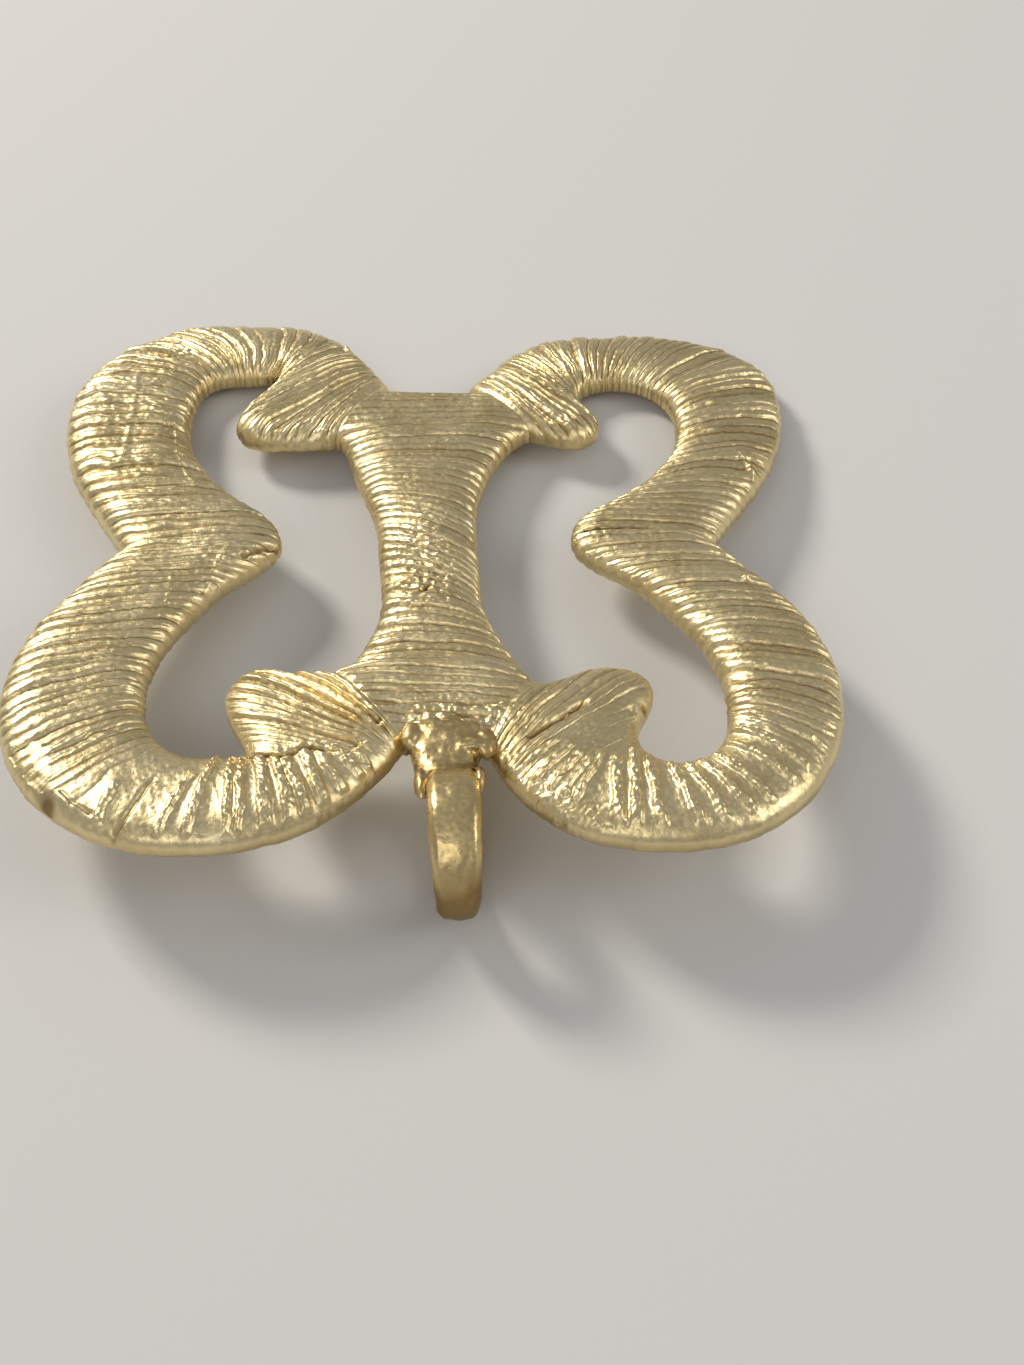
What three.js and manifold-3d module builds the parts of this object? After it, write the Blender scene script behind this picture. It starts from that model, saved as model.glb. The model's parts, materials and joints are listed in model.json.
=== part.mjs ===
import * as THREE from 'three';
import { mergeVertices } from 'three/addons/utils/BufferGeometryUtils.js';
import Module from 'manifold-3d';

// A cast brass pendant of two pairs of curled ram's horns on a waisted spine, lying face up on its bail.
// Lengths are in millimetres and directions in degrees.
// In the plate's own axes X runs across, Y along the spine with the bail at -Y, and Z up from the flat back.

// Plate section: a flat back, low side walls and a crowned face. A higher crown power fills the crown out.
const plateThickness = 2.7;
const sideWallHeight = 0.9;
const crownPower = 3;
const crownSteps = [0, 0.05, 0.2, 0.5, 0.8, 0.95, 1];

// Clearance between two pieces at a seam
const seamGap = 0.3;

// How far the spine's near end is hollowed to take the bail's root
const rootHollow = 1.4;

// Bail loop: a flat strip bent into a ring that stands across the plate's near end.
// Its reach is from the plate's middle to its centre.
const loopReach = 28.6;
const loopRadius = 5.6;
const loopThickness = 1.7;
const loopWidth = 3.9;
const loopNarrowing = 1.1;
const loopBevel = 0.5;
const loopRidge = 0.12;
const loopOffset = 1.1;
const loopRise = -2.3;

// The crotch, where the lower horns' heads meet the spine: the loop stands off from it
const loopStandoff = 1.2;
const crotchReach = loopReach - loopRadius - loopStandoff;

// Bail cradle: a neck that grows out of the crotch and grips the loop between two ears.
// Lengths are from the crotch, rises are above the plate's face and drops are below its back.
// The neck is set in from the ears on both sides.
const neckLength = 1.5;
const neckRise = 0.2;
const neckDrop = 1.2;
const neckInset = 0.3;
const leftEar = 0.75;
const rightEar = 0.4;
const earLength = 3.2;
const earRise = 0.3;
const earDrop = 2.4;
const earTipLength = 7.0;
const earTipRise = -0.9;
const earTipDrop = 2.0;

// Share of the spine's near end that the neck's root leaves bare on each side
const rootMargin = 0.06;

// Share of the crown's height left at the spine's far end, which was pressed low
const farEndCrown = 0.3;

// Where the pieces on one side of the spine meet: [reach from the spine's axis, height above the plate's middle]
const sides = {
  left: { sign: -1, cusp: [12.6, 2.9], notch: [26.0, 2.5], waist: [4.3, 2.0] },
  right: { sign: 1, cusp: [12.1, 1.8], notch: [24.0, 0.5], waist: [3.95, -2.5] },
};

// Every horn was bent by hand, so each corner has its own outline. A point of it is [reach from the spine's axis,
// distance from the plate's middle towards this corner's end, direction of the edge at the point]. The lower heads'
// shoulders and spine corners are set from the crotch, so they follow the loop.
const corners = {
  upper_left: {
    side: sides.left, end: 1, notchLeave: 62, cuspLeave: 84,
    lobeSide: [33.1, 23.0, 90], lobeEnd: [19.8, 36.7, 180], shoulder: [7.3, 32.2, 236], spineCorner: [3.4, 25.4, 244],
    innerWaist: [17.9, 10.4, 54], innerSide: [21.8, 21.0, 90], innerEnd: [18.3, 28.1, 180], throat: [13.9, 28.8, 150],
    throatLeave: 268, hookTip: [17.4, 20.2, 272], hookLow: [13.6, 17.3, 180], hookRoot: [8.3, 17.4, 170],
    rootLeave: 215, spineShoulder: [6.9, 14.6, 262],
  },
  upper_right: {
    side: sides.right, end: 1, notchLeave: 56, cuspLeave: 84,
    lobeSide: [33.2, 21.8, 90], lobeEnd: [19.7, 32.4, 180], shoulder: [9.2, 30.1, 222], spineCorner: [4.2, 24.3, 232],
    innerWaist: [17.8, 7.9, 42], innerSide: [23.2, 18.8, 90], innerEnd: [17.9, 25.0, 180], throat: [14.5, 22.8, 270],
    throatLeave: 270, hookTip: [16.0, 18.3, 272], hookLow: [13.8, 15.9, 180], hookRoot: [9.6, 17.4, 160],
    rootLeave: 205, spineShoulder: [6.8, 14.1, 240],
  },
  lower_left: {
    side: sides.left, end: -1, notchLeave: 58, cuspLeave: 80,
    lobeSide: [33.4, 14.8, 90], lobeEnd: [17.4, 30.9, 180], shoulder: [4.4, crotchReach + 2.8, 232],
    spineCorner: [2.5, crotchReach, 238],
    innerWaist: [18.3, 4.2, 60], innerSide: [22.4, 15.0, 90], innerEnd: [17.0, 22.4, 180], throat: [14.2, 22.6, 180],
    throatLeave: 272, hookTip: [16.1, 16.2, 272], hookLow: [13.4, 13.4, 180], hookRoot: [8.0, 13.8, 180],
    rootLeave: 190, spineShoulder: [5.4, 11.0, 245],
  },
  lower_right: {
    side: sides.right, end: -1, notchLeave: 60, cuspLeave: 84,
    lobeSide: [31.4, 16.5, 90], lobeEnd: [17.8, 32.6, 180], shoulder: [7.0, crotchReach + 6.6, 228],
    spineCorner: [3.8, crotchReach + 0.9, 246],
    innerWaist: [17.3, 5.0, 55], innerSide: [22.4, 18.0, 90], innerEnd: [18.2, 25.0, 180], throat: [15.1, 22.2, 270],
    throatLeave: 270, hookTip: [16.8, 17.2, 272], hookLow: [13.2, 14.5, 180], hookRoot: [7.6, 15.7, 200],
    rootLeave: 240, spineShoulder: [6.1, 12.5, 245],
  },
};

// Steps along each piece
const bandSteps = [12, 9, 8];
const hookSteps = 14;
const seamSteps = 4;
const freeEdgeSteps = 7;
const loopSteps = 36;
const cradleSteps = 12;
const cutterSteps = 48;

// Share of the straight distance between two outline points that a curve's handle takes
const handleShare = 0.39;

// Passes that settle the loop's lowest point, which moves a little as the plate tilts
const restingPasses = 3;

const brass = { color: 0xccb673, metalness: 1, roughness: 0.35 };

const wasm = await Module();
wasm.setup();

function toPlate(corner, reach, distance) {
  return new THREE.Vector2(corner.side.sign * reach, corner.end * distance);
}

function cornerPoint(corner, [reach, distance]) {
  return toPlate(corner, reach, distance);
}

// A point that both corners on a side share is given by its height, so it turns over for the lower corner
function sharedPoint(corner, [reach, height]) {
  return toPlate(corner, reach, corner.end * height);
}

function direction(corner, degrees) {
  const angle = THREE.MathUtils.degToRad(degrees);
  return toPlate(corner, Math.cos(angle), Math.sin(angle));
}

function bend(corner, start, leave, finish, arrive) {
  const handle = start.distanceTo(finish) * handleShare;
  const leaving = start.clone().addScaledVector(direction(corner, leave), handle);
  const arriving = finish.clone().addScaledVector(direction(corner, arrive), -handle);
  return new THREE.CubicBezierCurve(start, leaving, arriving, finish);
}

// A smooth edge from a start point through the corner's named outline points
function edge(corner, start, leave, knots) {
  const path = new THREE.CurvePath();
  let from = start;
  let heading = leave;
  for (const knot of knots) {
    const to = cornerPoint(corner, knot);
    path.add(bend(corner, from, heading, to, knot[2]));
    from = to;
    heading = knot[2];
  }
  return path;
}

// Rows of a piece: straight lines from its outer edge to its inner edge, even along both
function rowsBetween(outerEdge, innerEdge, steps) {
  const rows = [];
  for (let i = 0; i <= steps; i += 1) {
    rows.push({ outer: outerEdge.getPointAt(i / steps), inner: innerEdge.getPointAt(i / steps) });
  }
  return rows;
}

function rowMiddle(row) {
  return row.outer.clone().lerp(row.inner, 0.5);
}

// Moves a piece's end row back from its seam by half the gap
function setBack(row, neighbour) {
  const along = row.inner.clone().sub(row.outer).normalize();
  const inward = new THREE.Vector2(-along.y, along.x);
  if (inward.dot(rowMiddle(neighbour).sub(rowMiddle(row))) < 0) {
    inward.negate();
  }
  inward.multiplyScalar(seamGap / 2);
  return { outer: row.outer.clone().add(inward), inner: row.inner.clone().add(inward) };
}

function setBackEnds(rows) {
  const first = setBack(rows[0], rows[1]);
  const last = setBack(rows.at(-1), rows.at(-2));
  return [first, ...rows.slice(1, -1), last];
}

function crownHeight(across, crown = 1) {
  const fromMiddle = Math.abs(2 * across - 1);
  return sideWallHeight + crown * (plateThickness - sideWallHeight) * Math.sqrt(1 - fromMiddle ** crownPower);
}

// The ring of points round a piece at one row. A row may bow along Y between its ends and have a lower crown.
function plateSection({ outer, inner, bow = 0, crown = 1 }) {
  const place = (across, height) => {
    const point = outer.clone().lerp(inner, across);
    return new THREE.Vector3(point.x, point.y + 4 * bow * across * (1 - across), height);
  };
  const face = crownSteps.map((across) => place(across, crownHeight(across, crown)));
  const back = crownSteps.map((across) => place(across, 0)).reverse();
  return [...face, ...back];
}

function signedVolume(points, triangles) {
  let volume = 0;
  for (let i = 0; i < triangles.length; i += 3) {
    const [a, b, c] = [points[triangles[i]], points[triangles[i + 1]], points[triangles[i + 2]]];
    volume += a.dot(b.clone().cross(c)) / 6;
  }
  return volume;
}

// A closed skin over a row of sections. Open ends are closed across the section, face point to back point.
function loft(sections, { ringed = false } = {}) {
  const count = sections[0].length;
  const points = sections.flat();
  const triangles = [];
  const quad = (a, b, c, d) => triangles.push(a, b, c, a, c, d);
  const spans = ringed ? sections.length : sections.length - 1;
  for (let i = 0; i < spans; i += 1) {
    const here = i * count;
    const next = ((i + 1) % sections.length) * count;
    for (let j = 0; j < count; j += 1) {
      const k = (j + 1) % count;
      quad(here + j, here + k, next + k, next + j);
    }
  }
  if (!ringed) {
    const last = (sections.length - 1) * count;
    for (let j = 0; j < count / 2 - 1; j += 1) {
      const opposite = count - 1 - j;
      quad(opposite, opposite - 1, j + 1, j);
      quad(last + j, last + j + 1, last + opposite - 1, last + opposite);
    }
  }
  if (signedVolume(points, triangles) < 0) {
    triangles.reverse();
  }
  const geometry = new THREE.BufferGeometry().setFromPoints(points);
  geometry.setIndex(triangles);
  return geometry;
}

function platePiece(rows) {
  return loft(setBackEnds(rows).map(plateSection));
}

// A horn's band, from the middle seam round the lobe to the seam with the hooked head
function hornBand(corner) {
  const notch = sharedPoint(corner, corner.side.notch);
  const cusp = sharedPoint(corner, corner.side.cusp);
  const lobeSide = cornerPoint(corner, corner.lobeSide);
  const lobeEnd = cornerPoint(corner, corner.lobeEnd);
  const innerSide = cornerPoint(corner, corner.innerSide);
  const innerEnd = cornerPoint(corner, corner.innerEnd);
  const spans = [
    [
      edge(corner, notch, corner.notchLeave, [corner.lobeSide]),
      edge(corner, cusp, corner.cuspLeave, [corner.innerWaist, corner.innerSide]),
    ],
    [
      edge(corner, lobeSide, corner.lobeSide[2], [corner.lobeEnd]),
      edge(corner, innerSide, corner.innerSide[2], [corner.innerEnd]),
    ],
    [
      edge(corner, lobeEnd, corner.lobeEnd[2], [corner.shoulder]),
      edge(corner, innerEnd, corner.innerEnd[2], [corner.throat]),
    ],
  ];
  const rows = spans.flatMap(([outer, inner], i) => rowsBetween(outer, inner, bandSteps[i]).slice(i ? 1 : 0));
  return platePiece(rows);
}

// The hooked head between a horn's band and the spine
function hookHead(corner) {
  const shoulder = cornerPoint(corner, corner.shoulder);
  const throat = cornerPoint(corner, corner.throat);
  const outer = edge(corner, shoulder, corner.shoulder[2], [corner.spineCorner]);
  const inner = edge(corner, throat, corner.throatLeave, [corner.hookTip, corner.hookLow, corner.hookRoot]);
  return platePiece(rowsBetween(outer, inner, hookSteps));
}

// One side of the spine from its corner down to the waist, set back from the seam with the hooked head
function spineEdge(corner) {
  const top = cornerPoint(corner, corner.spineCorner);
  const root = cornerPoint(corner, corner.hookRoot);
  const waist = sharedPoint(corner, corner.side.waist);
  const along = root.clone().sub(top).normalize();
  const inward = new THREE.Vector2(-along.y, along.x);
  if (inward.x * corner.side.sign > 0) {
    inward.negate();
  }
  inward.multiplyScalar(seamGap / 2);
  top.add(inward);
  root.add(inward);
  const seam = new THREE.LineCurve(top, root);
  const free = edge(corner, root, corner.rootLeave, [corner.spineShoulder]);
  const shoulder = cornerPoint(corner, corner.spineShoulder);
  free.add(bend(corner, shoulder, corner.spineShoulder[2], waist, 270));
  return [...evenPoints(seam, seamSteps), ...evenPoints(free, freeEdgeSteps).slice(1)];
}

function evenPoints(curve, steps) {
  return Array.from({ length: steps + 1 }, (_, i) => curve.getPointAt(i / steps));
}

// The spine's rows, from the far end to the bail end. They bow more and more towards the bail.
function spineRows() {
  const side = (upper, lower) => [...spineEdge(upper), ...spineEdge(lower).reverse().slice(1)];
  const left = side(corners.upper_left, corners.lower_left);
  const right = side(corners.upper_right, corners.lower_right);
  return left.map((point, i) => {
    const share = i / (left.length - 1);
    return { outer: point, inner: right[i], bow: rootHollow * share ** 2 };
  });
}

function spine() {
  const rows = spineRows();
  rows[0].crown = farEndCrown;
  const last = rows.at(-1);
  const raise = new THREE.Vector2(0, seamGap / 2);
  last.outer = last.outer.clone().add(raise);
  last.inner = last.inner.clone().add(raise);
  return loft(rows.map(plateSection));
}

function loopCentre() {
  return new THREE.Vector3(loopOffset, -loopReach, loopRise);
}

function toSolid(geometry) {
  const bare = new THREE.BufferGeometry();
  bare.setAttribute('position', geometry.getAttribute('position'));
  bare.setIndex(geometry.getIndex());
  const merged = mergeVertices(bare);
  const vertProperties = new Float32Array(merged.getAttribute('position').array);
  const triVerts = new Uint32Array(merged.getIndex().array);
  return new wasm.Manifold(new wasm.Mesh({ numProp: 3, vertProperties, triVerts }));
}

function toGeometry(solid) {
  const mesh = solid.getMesh();
  const geometry = new THREE.BufferGeometry();
  geometry.setAttribute('position', new THREE.BufferAttribute(mesh.vertProperties, 3));
  geometry.setIndex(new THREE.BufferAttribute(mesh.triVerts, 1));
  return geometry;
}

// A cylinder across the plate at the loop's centre
function crossCylinder(radius, fromX, toX) {
  const geometry = new THREE.CylinderGeometry(radius, radius, toX - fromX, cutterSteps);
  geometry.rotateZ(Math.PI / 2);
  geometry.translate((fromX + toX) / 2, loopCentre().y, loopCentre().z);
  return geometry;
}

// The strip's own section: bevelled edges and a faint ridge along the outer face
function loopSection(angle) {
  const width = loopWidth - loopNarrowing * (1 - Math.sin(angle)) / 2;
  const half = width / 2;
  const inside = loopRadius - loopThickness;
  const profile = [
    [-half, inside + loopBevel / 2],
    [-half, loopRadius - loopRidge - loopBevel],
    [loopBevel - half, loopRadius - loopRidge],
    [0, loopRadius],
    [half - loopBevel, loopRadius - loopRidge],
    [half, loopRadius - loopRidge - loopBevel],
    [half, inside + loopBevel / 2],
    [half - loopBevel / 2, inside],
    [loopBevel / 2 - half, inside],
  ];
  const centre = loopCentre();
  return profile.map(([x, radius]) => new THREE.Vector3(
    centre.x + x,
    centre.y + radius * Math.cos(angle),
    centre.z + radius * Math.sin(angle),
  ));
}

function bailLoop() {
  const sections = Array.from({ length: loopSteps }, (_, i) => loopSection((2 * Math.PI * i) / loopSteps));
  return loft(sections, { ringed: true });
}

// A rounded block section across the cradle, at a length from the crotch
function cradleSection({ length, rise, drop, inset = 0 }, fromX, toX) {
  const top = plateThickness + rise;
  const bottom = -drop;
  const middle = new THREE.Vector3((fromX + toX) / 2, -crotchReach - length, (top + bottom) / 2);
  return Array.from({ length: cradleSteps }, (_, i) => {
    const angle = ((i + 0.5) * 2 * Math.PI) / cradleSteps;
    const squared = (value) => Math.sign(value) * Math.sqrt(Math.abs(value));
    const x = squared(-Math.cos(angle)) * ((toX - fromX) / 2 - inset);
    const z = squared(Math.sin(angle)) * (top - bottom) / 2;
    return middle.clone().add(new THREE.Vector3(x, 0, z));
  });
}

function bailCradle() {
  const fromX = loopOffset - loopWidth / 2 - seamGap - leftEar;
  const toX = loopOffset + loopWidth / 2 + seamGap + rightEar;
  const seam = spineRows().at(-1);
  const faces = cradleSteps / 2;
  const root = Array.from({ length: cradleSteps }, (_, i) => {
    const onFace = i < faces;
    const step = onFace ? i : cradleSteps - 1 - i;
    const across = THREE.MathUtils.lerp(rootMargin, 1 - rootMargin, step / (faces - 1));
    const point = seam.outer.clone().lerp(seam.inner, across);
    const y = point.y + 4 * seam.bow * across * (1 - across) - seamGap / 2;
    return new THREE.Vector3(point.x, y, onFace ? crownHeight(across) : 0);
  });
  const sections = [
    { length: neckLength, rise: neckRise, drop: neckDrop, inset: neckInset },
    { length: earLength, rise: earRise, drop: earDrop },
    { length: earTipLength, rise: earTipRise, drop: earTipDrop },
  ].map((section) => cradleSection(section, fromX, toX));
  const block = toSolid(loft([root, ...sections]));
  const pocket = toSolid(crossCylinder(
    loopRadius + seamGap,
    loopOffset - loopWidth / 2 - seamGap,
    loopOffset + loopWidth / 2 + seamGap,
  ));
  const bore = toSolid(crossCylinder(loopRadius - loopThickness, fromX - seamGap, toX + seamGap));
  return toGeometry(block.subtract(pocket).subtract(bore));
}

function mesh(name, geometry) {
  geometry.computeVertexNormals();
  const piece = new THREE.Mesh(geometry, new THREE.MeshStandardMaterial({ name, ...brass }));
  piece.name = name;
  return piece;
}

// The plate rests on three points: the bail loop's lowest point and the backs of the two far lobes
function restingTurn() {
  const up = new THREE.Vector3(0, 0, 1);
  const left = cornerPoint(corners.upper_left, corners.upper_left.lobeEnd);
  const right = cornerPoint(corners.upper_right, corners.upper_right.lobeEnd);
  const farLeft = new THREE.Vector3(left.x, left.y, 0);
  const farRight = new THREE.Vector3(right.x, right.y, 0);
  const normal = up.clone();
  for (let pass = 0; pass < restingPasses; pass += 1) {
    const lowest = loopCentre().addScaledVector(normal, -loopRadius);
    normal.copy(farRight).sub(lowest).cross(farLeft.clone().sub(lowest)).normalize();
  }
  return new THREE.Quaternion().setFromUnitVectors(normal, up);
}

const plate = new THREE.Group();
plate.add(mesh('spine', spine()));
for (const [name, corner] of Object.entries(corners)) {
  plate.add(mesh(`${name}_horn`, hornBand(corner)));
  plate.add(mesh(`${name}_hook`, hookHead(corner)));
}
plate.add(mesh('bail_cradle', bailCradle()));
plate.add(mesh('bail_loop', bailLoop()));
plate.quaternion.copy(restingTurn());

// The origin is on the table, under the middle of the pendant
const bounds = new THREE.Box3().setFromObject(plate, true);
const middle = bounds.getCenter(new THREE.Vector3());
plate.position.set(-middle.x, -middle.y, -bounds.min.z);

const pendant = new THREE.Group();
pendant.add(plate);

export default pendant;
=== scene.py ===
import json
import math

import bmesh
import bpy
import numpy as np
from mathutils import Matrix, Vector
from mathutils.kdtree import KDTree


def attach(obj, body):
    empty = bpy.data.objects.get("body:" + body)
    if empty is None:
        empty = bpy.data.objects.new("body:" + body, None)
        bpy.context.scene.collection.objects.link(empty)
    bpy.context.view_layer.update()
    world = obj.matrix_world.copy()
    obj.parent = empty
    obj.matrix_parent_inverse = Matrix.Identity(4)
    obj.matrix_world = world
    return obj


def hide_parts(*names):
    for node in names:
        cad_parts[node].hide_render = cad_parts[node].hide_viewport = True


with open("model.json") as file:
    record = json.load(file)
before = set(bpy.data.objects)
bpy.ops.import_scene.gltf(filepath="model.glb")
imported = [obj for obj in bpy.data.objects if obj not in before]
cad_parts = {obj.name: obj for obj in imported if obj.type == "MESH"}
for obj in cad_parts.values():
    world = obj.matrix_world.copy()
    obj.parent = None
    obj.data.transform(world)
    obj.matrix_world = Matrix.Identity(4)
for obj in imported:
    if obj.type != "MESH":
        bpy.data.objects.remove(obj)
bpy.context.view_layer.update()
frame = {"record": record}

# Lengths are in millimetres in the plate's own axes, as in the part's source, until a mesh is placed
MM = 0.001

# Plate section
PLATE_THICKNESS = 2.7
SIDE_WALL_HEIGHT = 0.9
CROWN_REACH = 5.0
CROWN_POWER = 3

# Bail loop and cradle
LOOP_REACH = 28.6
LOOP_RADIUS = 5.6
LOOP_THICKNESS = 1.7
LOOP_WIDTH = 3.9
LOOP_NARROWING = 1.1
LOOP_BEVEL = 0.5
LOOP_RIDGE = 0.12
LOOP_OFFSET = 1.1
LOOP_RISE = -2.3
LOOP_STANDOFF = 1.2
CROTCH_REACH = LOOP_REACH - LOOP_RADIUS - LOOP_STANDOFF
ROOT_HOLLOW = 1.4

# How far the strip sinks into the cradle, at its rim and at each side, and half the cut through the eye
RIM_SINK = 0.2
SIDE_SINK = 0.3
THROUGH_REACH = 9

# Handle of an outline's curve, as a share of its chord
HANDLE_SHARE = 0.39

SIDES = {
    "left": {"sign": -1, "cusp": (12.6, 2.9), "notch": (26.0, 2.5), "waist": (4.3, 2.0)},
    "right": {"sign": 1, "cusp": (12.1, 1.8), "notch": (24.0, 0.5), "waist": (3.95, -2.5)},
}

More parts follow.
